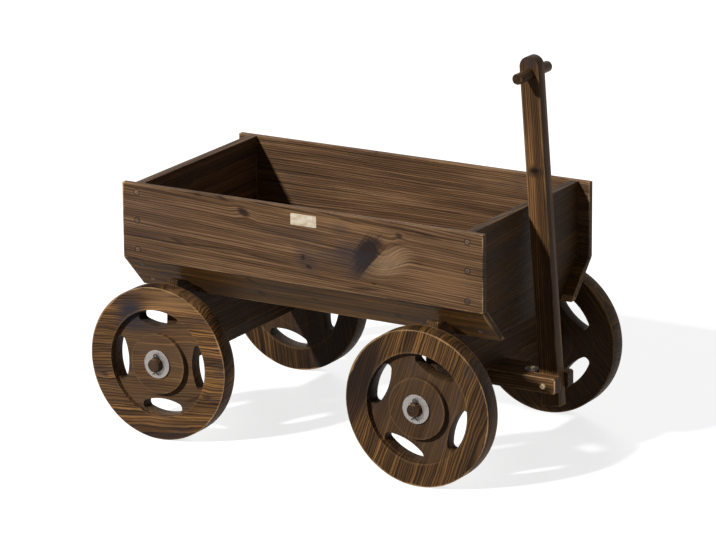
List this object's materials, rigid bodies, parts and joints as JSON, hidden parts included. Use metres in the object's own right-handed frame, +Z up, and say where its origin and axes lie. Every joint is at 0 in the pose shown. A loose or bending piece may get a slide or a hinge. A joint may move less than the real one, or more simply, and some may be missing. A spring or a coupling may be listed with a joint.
{
  "type": "flower cart stand",
  "caption": "Free-standing wooden planter cart with a sloped-side open trough, disc wheels on wooden axles and an upright pull handle, for displaying flowers.",
  "frame": {"origin": "on the ground, below the middle of the whole cart's bounding box", "axes": "+X forward to the handle end, +Y to the left, +Z up"},
  "size_m": [0.85, 0.548, 0.7434],
  "materials": {
    "burnt_fir": "carbonized and oiled, satin, open grain",
    "zinc_steel": "zinc plated, dull"
  },
  "bodies": {
    "cart": {"axle_front": "burnt_fir", "axle_rear": "burnt_fir", "bolster_front": "burnt_fir", "bolster_rear": "burnt_fir", "bolt_nuts": "zinc_steel", "end_board_front_lower": "burnt_fir", "end_board_front_upper": "burnt_fir", "end_board_rear_lower": "burnt_fir", "end_board_rear_upper": "burnt_fir", "flat_washers": "zinc_steel", "floor_board_left": "burnt_fir", "floor_board_middle": "burnt_fir", "floor_board_right": "burnt_fir", "side_board_left": "burnt_fir", "side_board_right": "burnt_fir", "slanted_board_left": "burnt_fir", "slanted_board_right": "burnt_fir", "split_pins": "zinc_steel", "tongue_arm_left": "burnt_fir", "tongue_arm_right": "burnt_fir", "tongue_block": "burnt_fir", "tongue_bolts": "zinc_steel", "tongue_strap": "zinc_steel"},
    "wheel_front_left": {"wheel_front_left": "burnt_fir"},
    "wheel_front_right": {"wheel_front_right": "burnt_fir"},
    "wheel_rear_left": {"wheel_rear_left": "burnt_fir"},
    "wheel_rear_right": {"wheel_rear_right": "burnt_fir"},
    "handle": {"handle_bar": "burnt_fir", "handle_grip": "burnt_fir"}
  },
  "joints": [
    {"name": "wheel_front_left_spin", "type": "hinge", "parent": "cart", "child": "wheel_front_left", "pos_m": [0.266, 0, 0.145], "axis": [0, 1, 0], "continuous": true},
    {"name": "wheel_front_right_spin", "type": "hinge", "parent": "cart", "child": "wheel_front_right", "pos_m": [0.266, 0, 0.145], "axis": [0, 1, 0], "continuous": true},
    {"name": "wheel_rear_left_spin", "type": "hinge", "parent": "cart", "child": "wheel_rear_left", "pos_m": [-0.28, 0, 0.145], "axis": [0, 1, 0], "continuous": true},
    {"name": "wheel_rear_right_spin", "type": "hinge", "parent": "cart", "child": "wheel_rear_right", "pos_m": [-0.28, 0, 0.145], "axis": [0, 1, 0], "continuous": true},
    {"name": "handle_pivot", "type": "hinge", "parent": "cart", "child": "handle", "pos_m": [0.4, 0, 0.145], "axis": [0, 1, 0], "range_deg": [-1, 25]}
  ]
}
